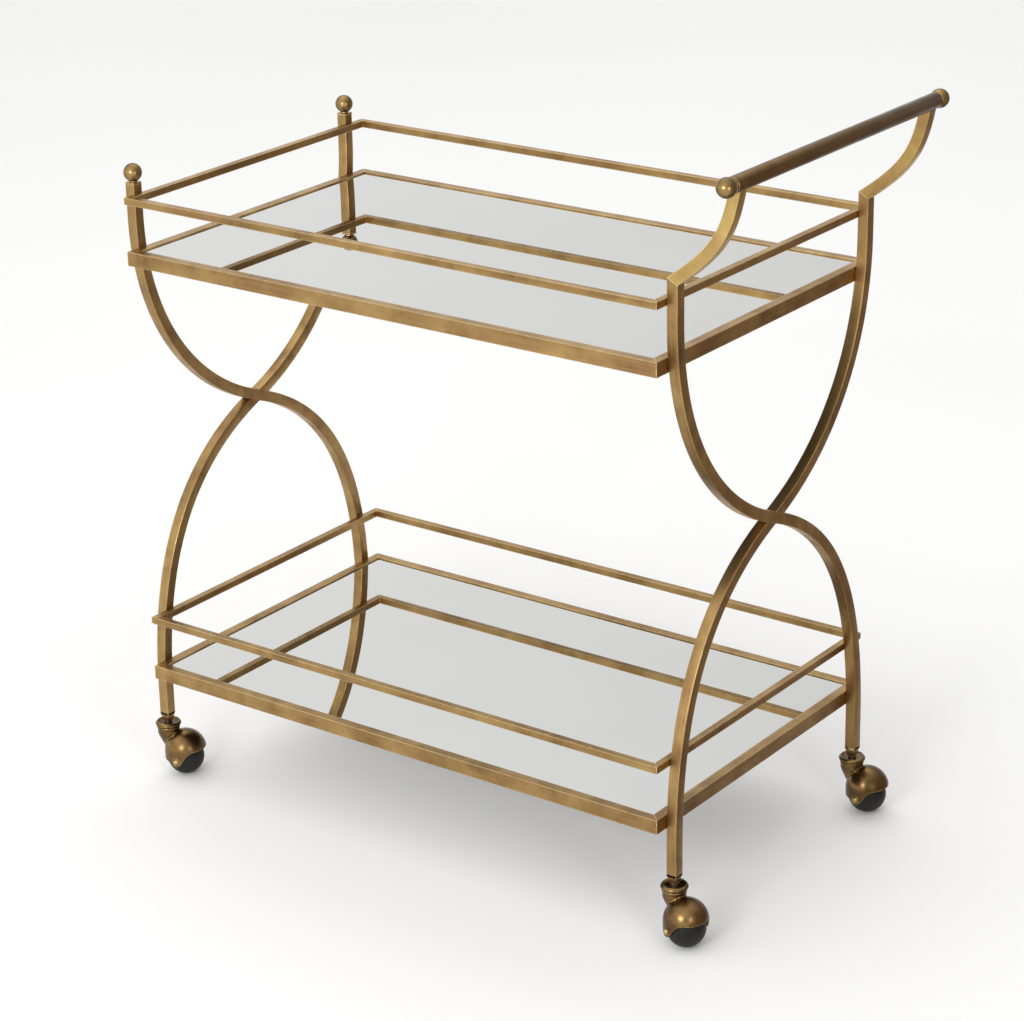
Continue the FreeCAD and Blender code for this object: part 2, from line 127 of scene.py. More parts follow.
def apply_modifiers(piece):
    activate(piece)
    for modifier in list(piece.modifiers):
        bpy.ops.object.modifier_apply(modifier=modifier.name)


def recalculate(piece):
    activate(piece)
    bpy.ops.object.mode_set(mode="EDIT")
    bpy.ops.mesh.select_all(action="SELECT")
    bpy.ops.mesh.remove_doubles(threshold=MERGE_DISTANCE)
    bpy.ops.mesh.normals_make_consistent(inside=False)
    bpy.ops.object.mode_set(mode="OBJECT")


def smooth(piece, angle=30):
    activate(piece)
    bpy.ops.object.shade_smooth_by_angle(angle=math.radians(angle))


def remove(piece):
    bpy.data.objects.remove(piece, do_unlink=True)


def copy_of(piece, name):
    twin = piece.copy()
    twin.data = piece.data.copy()
    twin.name = name
    twin.data.name = name
    bpy.context.collection.objects.link(twin)
    return twin


def place(piece, body, slot, material, *nodes):
    """Give a finished piece its material, its body and the CAD nodes it stands for."""
    apply_place(piece)
    piece.data.materials.clear()
    piece.data.materials.append(material)
    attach(piece, body)
    if nodes:
        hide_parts(*nodes)
    return piece


def boolean(piece, tool, operation):
    modifier = piece.modifiers.new(operation.lower(), "BOOLEAN")
    modifier.operation = operation
    modifier.solver = "EXACT"
    modifier.object = tool
    apply_modifiers(piece)
    remove(tool)


def set_outline(piece, points):
    """Move a circle's points, in order, to an outline's own points."""
    for vertex, point in zip(piece.data.vertices, points):
        vertex.co = point


def turned(name, outline, closed=False, steps=LATHE_STEPS):
    """Turn a (radius, height) outline about Z, as on a lathe."""
    deselect()
    bpy.ops.mesh.primitive_circle_add(
        vertices=len(outline), radius=START_RADIUS, fill_type="NOTHING"
    )
    piece = bpy.context.object
    piece.name = name
    piece.data.name = name
    set_outline(piece, [Vector((r, 0, z)) for r, z in outline])
    bpy.ops.object.mode_set(mode="EDIT")
    mesh = bmesh.from_edit_mesh(piece.data)
    mesh.verts.ensure_lookup_table()
    if not closed:
        ends = {0, len(outline) - 1}
        spare = [e for e in mesh.edges if {v.index for v in e.verts} == ends]
        bmesh.ops.delete(mesh, geom=spare, context="EDGES_FACES")
    bmesh.update_edit_mesh(piece.data)
    bpy.ops.mesh.select_all(action="SELECT")
    bpy.ops.mesh.spin(steps=steps, angle=2 * math.pi, center=(0, 0, 0), axis=(0, 0, 1))
    bpy.ops.object.mode_set(mode="OBJECT")
    recalculate(piece)
    return piece


def arc(centre_r, centre_z, radius, start, end, count):
    """Points of an outline's round stretch; angles in degrees from straight outwards."""
    points = []
    for i in range(count + 1):
        angle = math.radians(start + (end - start) * i / count)
        points.append((centre_r + radius * math.cos(angle), centre_z + radius * math.sin(angle)))
    return points


def aim(piece, centre, axis):
    """Stand a turned piece on a point with its height along an axis."""
    turn = Z_AXIS.rotation_difference(Vector(axis).normalized()).to_matrix().to_4x4()
    piece.data.transform(Matrix.Translation(Vector(centre)) @ turn)
    return piece


def prism(name, outline, depth):
    """Flat outline of points, given a thickness."""
    deselect()
    bpy.ops.mesh.primitive_circle_add(vertices=len(outline), radius=START_RADIUS, fill_type="NGON")
    piece = bpy.context.object
    piece.name = name
    set_outline(piece, outline)
    bpy.ops.object.mode_set(mode="EDIT")
    bpy.ops.mesh.select_all(action="SELECT")
    bpy.ops.mesh.extrude_region_move(TRANSFORM_OT_translate={"value": tuple(depth)})
    bpy.ops.object.mode_set(mode="OBJECT")
    recalculate(piece)
    return piece


# ---- Curved square tube
def square_section(half):
    """Rounded square that a tube is drawn with."""
    deselect()
    bpy.ops.curve.primitive_bezier_circle_add(radius=half)
    section = bpy.context.object
    bpy.ops.object.mode_set(mode="EDIT")
    bpy.ops.curve.select_all(action="SELECT")
    bpy.ops.curve.subdivide(number_cuts=1)
    bpy.ops.object.mode_set(mode="OBJECT")
    spline = section.data.splines[0]
    inner = half - EDGE_ROUND
    corners = []
    for sx, sy in ((1, 1), (-1, 1), (-1, -1), (1, -1)):
        first = Vector((sx * half, sy * inner, 0))
        second = Vector((sx * inner, sy * half, 0))
        corners += [first, second] if sx == sy else [second, first]
    pull = CIRCLE_PULL * EDGE_ROUND
    for index, (point, spot) in enumerate(zip(spline.bezier_points, corners)):
        point.handle_left_type = "FREE"
        point.handle_right_type = "FREE"
        point.co = spot
        corner = Vector((math.copysign(half, spot.x), math.copysign(half, spot.y), 0))
        towards = (corner - spot).normalized() * pull
        if index % 2 == 0:
            point.handle_right = spot + towards
            point.handle_left = spot - towards
            point.handle_left_type = "VECTOR"
        else:
            point.handle_left = spot + towards
            point.handle_right = spot - towards
            point.handle_right_type = "VECTOR"
    section.data.resolution_u = CORNER_STEPS
    return section


def swept_tube(name, points, half):
    """Tube along a curve given as (handle before, point, handle after)."""
    deselect()
    bpy.ops.curve.primitive_bezier_curve_add()
    path = bpy.context.object
    path.name = name
    spline = path.data.splines[0]
    spline.bezier_points.add(len(points) - 2)
    for point, (before, spot, after) in zip(spline.bezier_points, points):
        point.handle_left_type = "FREE"
        point.handle_right_type = "FREE"
        point.co = spot
        point.handle_left = before
        point.handle_right = after
    path.data.resolution_u = CURVE_STEPS
    path.data.twist_mode = "MINIMUM"
    section = square_section(half)
    path.data.bevel_mode = "OBJECT"
    path.data.bevel_object = section
    path.data.use_fill_caps = True
    activate(path)
    bpy.ops.object.convert(target="MESH")
    tube = bpy.context.object
    tube.name = name
    tube.data.name = name
    remove(section)
    recalculate(tube)
    return tube


def straight_end(spot, towards):
    """Curve point with both handles in line with its neighbour."""
    step = (towards - spot) / 3
    return (spot - step, spot, spot + step)


def leg_points(x, top_side, foot_side, top, foot):
    """Curve points from a leg's top, through the crossing, to its foot."""
    points = []
    crossing = Vector((x, 0, CROSS_Z))
    bowl_pull = BOWL_SIDE * LEG_Y
    arch_pull = ARCH_SIDE * LEG_Y
    into_cross = crossing
    out_of_cross = crossing
    if top_side:
        y = top_side * LEG_Y
        upper = Vector((x, y, top))
        shoulder = Vector((x, y, BOWL_TOP))
        rise = Vector((0, 0, BOWL_RISE * (BOWL_TOP - CROSS_Z)))
        points.append(straight_end(upper, shoulder))
        points.append((shoulder + (upper - shoulder) / 3, shoulder, shoulder - rise))
        pull = Vector((0, top_side * math.cos(CROSS_ANGLE), math.sin(CROSS_ANGLE))) * bowl_pull
        into_cross = crossing + pull
        out_of_cross = crossing - pull
    if foot_side:
        y = foot_side * LEG_Y
        ankle = Vector((x, y, ARCH_FOOT))
        lower = Vector((x, y, foot))
        rise = Vector((0, 0, ARCH_RISE * (CROSS_Z - ARCH_FOOT)))
        pull = Vector((0, foot_side * math.cos(CROSS_ANGLE), -math.sin(CROSS_ANGLE))) * arch_pull
        out_of_cross = crossing + pull
        if not top_side:
            into_cross = crossing - pull
    points.append((into_cross, crossing, out_of_cross))
    if foot_side:
        points.append((ankle + rise, ankle, ankle + (lower - ankle) / 3))
        points.append(straight_end(lower, ankle))
    return points


def taper_foot(tube, x, y, foot):
    """Draw the foot's end face down and in, then drill the small cross hole."""
    activate(tube)
    bpy.ops.object.mode_set(mode="EDIT")
    bpy.ops.mesh.select_mode(type="FACE")
    bpy.ops.mesh.select_all(action="DESELECT")
    mesh = bmesh.from_edit_mesh(tube.data)
    for face in mesh.faces:
        low = all(v.co.z < foot + SAME_HEIGHT for v in face.verts)
        face.select = low and abs(face.normal.z) > 0.9
    bmesh.update_edit_mesh(tube.data)
    bpy.ops.mesh.extrude_region_move(TRANSFORM_OT_translate={"value": (0, 0, -FOOT_TAPER_HEIGHT)})
    bottom = foot - FOOT_TAPER_HEIGHT
    bpy.ops.transform.resize(value=(FOOT_TAPER, FOOT_TAPER, 1), center_override=(x, y, bottom))
    bpy.ops.object.mode_set(mode="OBJECT")
    deselect()
    aside = LEG_SIZE * FOOT_HOLE_OFFSET
    bpy.ops.mesh.primitive_cylinder_add(
        vertices=DRILL_STEPS,
        radius=FOOT_HOLE_RADIUS,
        depth=LEG_SIZE,
        location=(x + aside, y - aside, bottom + FOOT_HOLE_LIFT),
        rotation=(0, math.pi / 2, -math.pi / 4),
    )
    drill = bpy.context.object
    apply_place(drill)
    boolean(tube, drill, "DIFFERENCE")


def cut_mitre(tube, spot, outward):
    """Saw a tube off at a plane and close the cut."""
    activate(tube)
    bpy.ops.object.mode_set(mode="EDIT")
    bpy.ops.mesh.select_all(action="SELECT")
    bpy.ops.mesh.bisect(plane_co=spot, plane_no=outward, use_fill=True, clear_outer=True)
    bpy.ops.object.mode_set(mode="OBJECT")


# ---- Finishes
def node_group(name, inputs, outputs):
    tree = bpy.data.node_groups.new(name, "ShaderNodeTree")
    for label, kind, value in inputs:
        socket = tree.interface.new_socket(label, in_out="INPUT", socket_type=kind)
        if value is not None:
            socket.default_value = value
    for label, kind in outputs:
        tree.interface.new_socket(label, in_out="OUTPUT", socket_type=kind)
    return tree, tree.nodes.new("NodeGroupInput"), tree.nodes.new("NodeGroupOutput")


def noise(tree, vector, scale, detail=4.0, roughness=0.55):
    node = tree.nodes.new("ShaderNodeTexNoise")
    node.inputs["Scale"].default_value = scale
    node.inputs["Detail"].default_value = detail
    node.inputs["Roughness"].default_value = roughness
    tree.links.new(vector, node.inputs["Vector"])
    return node.outputs["Fac"]


def span(tree, value, low, high, to_low=0.0, to_high=1.0):
    node = tree.nodes.new("ShaderNodeMapRange")
    node.inputs["From Min"].default_value = low
    node.inputs["From Max"].default_value = high
    node.inputs["To Min"].default_value = to_low
    node.inputs["To Max"].default_value = to_high
    tree.links.new(value, node.inputs["Value"])
    return node.outputs["Result"]


def maths(tree, operation, first, second):
    node = tree.nodes.new("ShaderNodeMath")
    node.operation = operation
    for socket, value in ((node.inputs[0], first), (node.inputs[1], second)):
        if isinstance(value, (int, float)):
            socket.default_value = value
        else:
            tree.links.new(value, socket)
    return node.outputs[0]


def blend_colours(tree, amount, first, second):
    node = tree.nodes.new("ShaderNodeMix")
    node.data_type = "RGBA"
    for socket, value in ((node.inputs[0], amount), (node.inputs[6], first), (node.inputs[7], second)):
        if isinstance(value, (int, float, tuple)):
            socket.default_value = value
        else:
            tree.links.new(value, socket)
    return node.outputs[2]


def build_patina_group():
    """Cloudy tarnish: a broad mask, a fine speckle mask and a reddish mask."""
    tree, start, end = node_group(
        "tarnish_clouds",
        [("Vector", "NodeSocketVector", None), ("Cloud Size", "NodeSocketFloat", 22.0)],
        [("Cloud", "NodeSocketFloat"), ("Speckle", "NodeSocketFloat"), ("Red", "NodeSocketFloat")],
    )
    broad = tree.nodes.new("ShaderNodeTexNoise")
    broad.inputs["Detail"].default_value = 5.0
    broad.inputs["Roughness"].default_value = 0.6
    tree.links.new(start.outputs["Vector"], broad.inputs["Vector"])
    tree.links.new(start.outputs["Cloud Size"], broad.inputs["Scale"])
    tree.links.new(span(tree, broad.outputs["Fac"], 0.35, 0.68), end.inputs["Cloud"])
    speckle = noise(tree, start.outputs["Vector"], 900.0, 3.0, 0.6)
    tree.links.new(span(tree, speckle, 0.42, 0.70), end.inputs["Speckle"])
    red = noise(tree, start.outputs["Vector"], 13.0, 3.0, 0.5)
    tree.links.new(span(tree, red, 0.48, 0.66), end.inputs["Red"])
    return tree


def build_brush_group():
    """Fine hand-brushed lines, and broader scuffs, that run the long way of a vector."""
    tree, start, end = node_group(
        "brushed_lines",
        [("Vector", "NodeSocketVector", None)],
        [("Lines", "NodeSocketFloat"), ("Scuffs", "NodeSocketFloat")],
    )
    fine = noise(tree, start.outputs["Vector"], 1.0, 3.0, 0.6)
    coarse = noise(tree, start.outputs["Vector"], 0.23, 2.0, 0.5)
    tree.links.new(span(tree, fine, 0.32, 0.70), end.inputs["Lines"])
    tree.links.new(span(tree, coarse, 0.40, 0.66), end.inputs["Scuffs"])
    return tree


def build_wear_group():
    """Mask that is one along rubbed edges and nought on flats."""
    tree, start, end = node_group(
        "rubbed_edges",
        [("Vector", "NodeSocketVector", None), ("Width", "NodeSocketFloat", 0.001)],
        [("Edge", "NodeSocketFloat")],
    )
    bevel = tree.nodes.new("ShaderNodeBevel")
    bevel.samples = 6
    tree.links.new(start.outputs["Width"], bevel.inputs["Radius"])
    geometry = tree.nodes.new("ShaderNodeNewGeometry")
    dot = tree.nodes.new("ShaderNodeVectorMath")
    dot.operation = "DOT_PRODUCT"
    tree.links.new(bevel.outputs["Normal"], dot.inputs[0])
    tree.links.new(geometry.outputs["Normal"], dot.inputs[1])
    edge = span(tree, dot.outputs["Value"], 0.9995, 0.965)
    breaks = span(tree, noise(tree, start.outputs["Vector"], 120.0, 3.0, 0.6), 0.30, 0.62, 0.35, 1.0)
    tree.links.new(maths(tree, "MULTIPLY", edge, breaks), end.inputs["Edge"])
    return tree


GROUPS = {}

# ---- How much each effect shows in the brass
CLOUD_SIZE = 20.0
WEAR_WIDTH = 0.0013
RED_AMOUNT = 0.45
SCUFF_AMOUNT = 0.35
LINE_AMOUNT = 0.35
SPECKLE_AMOUNT = 0.12
# The next two set where the painted rim shade begins and where it is full, by how edge-on a surface is to
# the camera.
PAINTED_RIM_START = 0.25
PAINTED_RIM_FULL = 0.85
CLOUD_ROUGHNESS = 0.12
LINE_ROUGHNESS = 0.06
WEAR_POLISH = 0.10
SPECKLE_HEIGHT = 0.5
BRASS_BUMP = 0.25


def group_node(tree, name):
    node = tree.nodes.new("ShaderNodeGroup")
    node.node_tree = GROUPS[name]
    return node


def new_material(name):
    material = bpy.data.materials.new(name)
    material.use_nodes = True
    tree = material.node_tree
    tree.nodes.clear()
    output = tree.nodes.new("ShaderNodeOutputMaterial")
    shader = tree.nodes.new("ShaderNodeBsdfPrincipled")
    tree.links.new(shader.outputs["BSDF"], output.inputs["Surface"])
    where = tree.nodes.new("ShaderNodeTexCoord").outputs["Object"]
    return material, tree, shader, where


def brass(name, light, dark, red, worn, line_scale, gloss, rim=0.0, line_depth=0.02):
    """Antique brass: tarnish clouds over brushed metal, with rubbed bright edges; where rim is set,
    painted shade darkens the rims.
    """
    material, tree, shader, where = new_material(name)
    clouds = group_node(tree, "tarnish")
    clouds.inputs["Cloud Size"].default_value = CLOUD_SIZE
    tree.links.new(where, clouds.inputs["Vector"])
    stretch = tree.nodes.new("ShaderNodeMapping")
    stretch.inputs["Scale"].default_value = line_scale
    tree.links.new(where, stretch.inputs["Vector"])
    lines = group_node(tree, "brush")
    tree.links.new(stretch.outputs["Vector"], lines.inputs["Vector"])
    wear = group_node(tree, "wear")
    wear.inputs["Width"].default_value = WEAR_WIDTH
    tree.links.new(where, wear.inputs["Vector"])
    tone = blend_colours(tree, clouds.outputs["Cloud"], light, dark)
    tone = blend_colours(tree, maths(tree, "MULTIPLY", clouds.outputs["Red"], RED_AMOUNT), tone, red)
    streak = maths(tree, "MULTIPLY", lines.outputs["Scuffs"], SCUFF_AMOUNT)
    tone = blend_colours(tree, streak, tone, light)
    line = maths(tree, "MULTIPLY", lines.outputs["Lines"], LINE_AMOUNT)
    tone = blend_colours(tree, line, tone, dark)
    fleck = maths(tree, "MULTIPLY", clouds.outputs["Speckle"], SPECKLE_AMOUNT)
    tone = blend_colours(tree, fleck, tone, dark)
    tone = blend_colours(tree, wear.outputs["Edge"], tone, worn)
    # Painted shade: with rim set, the colour is darkened towards a deep brown where the surface turns
    # edge-on to the camera, standing in for dark reflections at the rims.
    if rim:
        facing = tree.nodes.new("ShaderNodeLayerWeight").outputs["Facing"]
        tone = blend_colours(tree, span(tree, facing, PAINTED_RIM_START, PAINTED_RIM_FULL, 0.0, rim), tone, RIM_PAINTED_SHADE)
    tree.links.new(tone, shader.inputs["Base Color"])
    shader.inputs["Metallic"].default_value = 1.0
    rough = span(tree, clouds.outputs["Cloud"], 0.0, 1.0, gloss, gloss + CLOUD_ROUGHNESS)
    grain = maths(tree, "MULTIPLY", lines.outputs["Lines"], LINE_ROUGHNESS)
    rough = maths(tree, "ADD", rough, grain)
    polish = maths(tree, "MULTIPLY", wear.outputs["Edge"], WEAR_POLISH)
    rough = maths(tree, "SUBTRACT", rough, polish)
    tree.links.new(rough, shader.inputs["Roughness"])
    pits = maths(tree, "MULTIPLY", clouds.outputs["Speckle"], SPECKLE_HEIGHT)
    height = maths(tree, "ADD", lines.outputs["Lines"], pits)
    bump = tree.nodes.new("ShaderNodeBump")
    bump.inputs["Strength"].default_value = BRASS_BUMP
    bump.inputs["Distance"].default_value = line_depth * MM
    tree.links.new(height, bump.inputs["Height"])
    tree.links.new(bump.outputs["Normal"], shader.inputs["Normal"])
    return material


# ---- Colours
MIRROR_DIM = (0.765, 0.770, 0.750, 1)
MIRROR_CLEAR = (0.790, 0.795, 0.775, 1)
WHEEL_DARK = (0.008, 0.0075, 0.007, 1)
WHEEL_LIGHT = (0.020, 0.019, 0.017, 1)
WHEEL_SCRATCH = (0.09, 0.085, 0.08, 1)
STEEL_DARK = (0.20, 0.17, 0.13, 1)
STEEL_LIGHT = (0.32, 0.28, 0.22, 1)
BOARD_DARK = (0.020, 0.018, 0.016, 1)
BOARD_LIGHT = (0.045, 0.04, 0.035, 1)
FLOOR_DIM = (0.86, 0.86, 0.86, 1)
FLOOR_PALE = (0.88, 0.88, 0.88, 1)
CARD_DARK = (0.24, 0.19, 0.155, 1)
CARD_LIGHT = (0.34, 0.28, 0.235, 1)


def mirror_material():
    material, tree, shader, where = new_material("silvered_mirror")
    haze = noise(tree, where, 3.5, 3.0, 0.5)
    dust = noise(tree, where, 260.0, 4.0, 0.7)
    tone = blend_colours(tree, span(tree, haze, 0.3, 0.7), MIRROR_DIM, MIRROR_CLEAR)
    tree.links.new(tone, shader.inputs["Base Color"])
    shader.inputs["Metallic"].default_value = 1.0
    smear = span(tree, dust, 0.60, 0.85, 0.012, 0.05)
    tree.links.new(smear, shader.inputs["Roughness"])
    return material


def black_material():
    material, tree, shader, where = new_material("black_wheel")
    mottle = noise(tree, where, 90.0, 5.0, 0.65)
    scratch = noise(tree, where, 700.0, 3.0, 0.6)
    tone = blend_colours(tree, span(tree, mottle, 0.3, 0.75), WHEEL_DARK, WHEEL_LIGHT)
    tone = blend_colours(tree, span(tree, scratch, 0.66, 0.80, 0.0, 0.5), tone, WHEEL_SCRATCH)
    tree.links.new(tone, shader.inputs["Base Color"])
    tree.links.new(span(tree, mottle, 0.2, 0.8, 0.42, 0.60), shader.inputs["Roughness"])
    shader.inputs["Specular IOR Level"].default_value = 0.22
    bump = tree.nodes.new("ShaderNodeBump")
    bump.inputs["Strength"].default_value = 0.2
    bump.inputs["Distance"].default_value = 0.02 * MM
    tree.links.new(scratch, bump.inputs["Height"])
    tree.links.new(bump.outputs["Normal"], shader.inputs["Normal"])
    return material


def steel_material():
    material, tree, shader, where = new_material("plain_steel")
    grain = noise(tree, where, 240.0, 4.0, 0.6)
    tone = blend_colours(tree, span(tree, grain, 0.3, 0.7), STEEL_DARK, STEEL_LIGHT)
    tree.links.new(tone, shader.inputs["Base Color"])
    shader.inputs["Metallic"].default_value = 1.0
    tree.links.new(span(tree, grain, 0.2, 0.8, 0.32, 0.5), shader.inputs["Roughness"])
    return material


def board_material():
    material, tree, shader, where = new_material("painted_board")
    fibre = noise(tree, where, 420.0, 5.0, 0.7)
    tone = blend_colours(tree, span(tree, fibre, 0.3, 0.7), BOARD_DARK, BOARD_LIGHT)
    tree.links.new(tone, shader.inputs["Base Color"])
    tree.links.new(span(tree, fibre, 0.2, 0.8, 0.6, 0.85), shader.inputs["Roughness"])
    return material


GROUPS["tarnish"] = build_patina_group()
GROUPS["brush"] = build_brush_group()
GROUPS["wear"] = build_wear_group()

LIGHT_BRASS = (0.480, 0.318, 0.125, 1)
DARK_BRASS = (0.200, 0.115, 0.045, 1)
RED_BRASS = (0.300, 0.155, 0.075, 1)
WORN_BRASS = (0.800, 0.620, 0.330, 1)
# GOLD_LIGHT and GOLD_DARK: the arms' lighter brass, a painted highlight; also the cast brass's worn-edge
# colour and the rivet's dark tone.
GOLD_LIGHT = (0.640, 0.460, 0.165, 1)
GOLD_DARK = (0.330, 0.210, 0.070, 1)
CAST_LIGHT = (0.300, 0.185, 0.072, 1)
CAST_DARK = (0.085, 0.050, 0.022, 1)
BALL_LIGHT = (0.430, 0.290, 0.115, 1)
BALL_DARK = (0.200, 0.125, 0.050, 1)
BAR_LIGHT = (0.330, 0.205, 0.085, 1)
BAR_DARK = (0.170, 0.095, 0.040, 1)
# Painted shade colour that the bar, balls and cast brass darken to at their rims.
RIM_PAINTED_SHADE = (0.035, 0.020, 0.010, 1)
ALONG = 14.0
ACROSS = 1400.0
brass_x = brass(
    "antique_brass_along_x", LIGHT_BRASS, DARK_BRASS, RED_BRASS, WORN_BRASS, (ALONG, ACROSS, ACROSS), 0.30
)
brass_y = brass(
    "antique_brass_along_y", LIGHT_BRASS, DARK_BRASS, RED_BRASS, WORN_BRASS, (ACROSS, ALONG, ACROSS), 0.30
)
brass_leg = brass(
    "antique_brass_leg", LIGHT_BRASS, DARK_BRASS, RED_BRASS, WORN_BRASS, (ACROSS, 60.0, 30.0), 0.30
)
# Painted highlight: the arms get a lighter, yellower copy of the brass, standing in for their brightly lit
# look.
brass_arm = brass(
    "brass_arm_painted_highlight", GOLD_LIGHT, GOLD_DARK, RED_BRASS, WORN_BRASS, (60.0, ACROSS, 60.0), 0.28
)
# Painted shade: the bar, ball and cast brass materials below are darkened at their rims, as seen from the
# camera.
brass_bar = brass(
    "rubbed_brass_bar_painted_dark_rim", BAR_LIGHT, BAR_DARK, RED_BRASS, WORN_BRASS, (ACROSS, ALONG, ACROSS), 0.25, rim=0.85
)
brass_ball = brass(
    "rubbed_brass_ball_painted_dark_rim", BALL_LIGHT, BALL_DARK, RED_BRASS, WORN_BRASS, (90.0, 90.0, 90.0), 0.22, rim=0.9
)
brass_cast = brass(
    "cast_brass_painted_dark_rim", CAST_LIGHT, CAST_DARK, RED_BRASS, GOLD_LIGHT, (110.0, 110.0, 110.0), 0.22, 0.8, 0.03
)
brass_rivet = brass(
    "worn_rivet", WORN_BRASS, GOLD_DARK, RED_BRASS, WORN_BRASS, (200.0, 200.0, 200.0), 0.28
)
mirror = mirror_material()
wheel_black = black_material()
steel = steel_material()
board = board_material()


# ---- Finishes on the pieces that keep their CAD shape
def finish_node(node, material):
    piece = frame["nodes"][node]
    piece.data.materials.clear()
    piece.data.materials.append(material)


for level in ("upper", "lower"):
    for kind in ("frame", "gallery"):
        for side in ("front", "back"):
            finish_node(level + "_" + kind + "_" + side, brass_x)
        for side in ("left", "right"):
            finish_node(level + "_" + kind + "_" + side, brass_y)
    finish_node(level + "_mirror", mirror)
    finish_node(level + "_backing_board", board)
finish_node("post_caps", brass_leg)
for node in ("ball_studs", "caster_stems", "caster_washers"):
    finish_node(node, steel)


# ---- End legs
def build_leg(name, end, top_side, foot_side):
    x = LEG_X[end]
    through = bool(top_side and foot_side)
    half = LEG_SIZE / 2 - (0 if through else BURIED)
    post = POST_TOP - POST_CAP_SEAT if end == "left" else KINK_Z + LEG_SIZE
    foot = LEG_FOOT + FOOT_TAPER_HEIGHT
    tube = swept_tube(name, leg_points(x, top_side, foot_side, post, foot), half)
    if foot_side:
        taper_foot(tube, x, foot_side * LEG_Y, foot)
    if top_side and end == "right":
        outward = Vector((math.cos(MITRE_ANGLE), 0, math.sin(MITRE_ANGLE)))
        cut_mitre(tube, Vector((x, 0, KINK_Z)), outward)
    smooth(tube, TUBE_SMOOTH_ANGLE)
    for edge in tube.data.edges:
        ring = [tube.data.vertices[i].co.z for i in edge.vertices]
        if foot_side and max(abs(z - foot) for z in ring) < BURIED:
            edge.use_edge_sharp = True
    place(tube, "cart", "frame_brass", brass_leg, name)


for end in ("left", "right"):
    build_leg(end + "_leg_through", end, -1, 1)
    build_leg(end + "_leg_upper", end, 1, 0)
    build_leg(end + "_leg_lower", end, 0, -1)


# ---- Push handle
def build_arm(name, side):
    y = side * LEG_Y
    kink = Vector((LEG_X["right"], y, KINK_Z))
    top = Vector((BAR.x, y, BAR.z))
    first = Vector((math.cos(KINK_ANGLE), 0, math.sin(KINK_ANGLE)))
    last = Vector((math.cos(ARM_END_ANGLE), 0, math.sin(ARM_END_ANGLE)))
    chord = (top - kink).length
    before = kink - first * LEG_SIZE
    points = [
        straight_end(before, kink),
        (kink - first * LEG_SIZE / 3, kink, kink + first * chord * ARM_START_PULL),
        (top - last * chord * ARM_END_PULL, top, top + last * 0.01),
    ]
    tube = swept_tube(name, points, LEG_SIZE / 2)
    outward = Vector((-math.cos(MITRE_ANGLE), 0, -math.sin(MITRE_ANGLE)))
    cut_mitre(tube, kink, outward)
    smooth(tube, TUBE_SMOOTH_ANGLE)
    place(tube, "cart", "handle_brass", brass_arm, name)


def build_bar():
    rim = 0.0008
    outline = [(0, -BAR_END), (BAR_RADIUS - rim, -BAR_END)]
    outline += arc(BAR_RADIUS - rim, -BAR_END + rim, rim, -90, 0, 3)
    outline += arc(BAR_RADIUS - rim, BAR_END - rim, rim, 0, 90, 3)
    outline += [(0, BAR_END)]
    bar = aim(turned("handle_bar", outline), (BAR.x, 0, BAR.z), Y_AXIS)
    smooth(bar)
    place(bar, "cart", "handle_brass", brass_bar, "handle_bar")


PLUG_STEP = 0.002
PLUG_DEPTH = 0.004


def build_collar(name, side):
    low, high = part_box(name)
    radius = (high.z - low.z) / 2
    outer = high.y if side > 0 else -low.y
    seat = outer - BAR_END
    rim = 0.0005
    plug = radius - PLUG_STEP
    outline = [(0, -PLUG_DEPTH), (plug, -PLUG_DEPTH), (plug, 0), (radius - rim, 0)]
    outline += arc(radius - rim, rim, rim, -90, 0, 3)
    outline += arc(radius - rim, seat - rim, rim, 0, 90, 3)
    outline += [(0, seat)]
    collar = aim(turned(name, outline), (BAR.x, side * BAR_END, BAR.z), (0, side, 0))
    smooth(collar)
    place(collar, "cart", "handle_brass", brass_ball, name)
    return outer


def build_handle_ball(name, side, seat):
    low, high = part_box(name)
    outer = high.y if side > 0 else -low.y
    centre = outer - BALL_RADIUS
    start = math.degrees(math.asin((seat - centre) / BALL_RADIUS))
    outline = [(0, seat - centre)] + arc(0, 0, BALL_RADIUS, start, 90, 28)
    ball = aim(turned(name, outline), (BAR.x, side * centre, BAR.z), (0, side, 0))
    smooth(ball, BALL_SMOOTH_ANGLE)
    place(ball, "cart", "handle_brass", brass_ball, name)


def build_finial(name, side):
    low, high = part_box(name)
    centre = high.z - BALL_RADIUS
    neck = 0.005
    base = low.z - centre
    meet = math.degrees(math.asin(-math.sqrt(BALL_RADIUS**2 - neck**2) / BALL_RADIUS))
    outline = [(0, base), (neck + 0.0008, base), (neck, base + 0.0007)]
    outline += arc(0, 0, BALL_RADIUS, meet, 90, 30)
    ball = aim(turned(name, outline), (LEG_X["left"], side * LEG_Y, centre), Z_AXIS)
    smooth(ball, BALL_SMOOTH_ANGLE)
    place(ball, "cart", "handle_brass", brass_ball, name)


build_bar()
for side_name, side in (("front", -1), ("back", 1)):
    build_arm("handle_arm_" + side_name, side)
    seat = build_collar("handle_collar_" + side_name, side)
    build_handle_ball("handle_ball_" + side_name, side, seat)
    build_finial("finial_" + side_name, side)


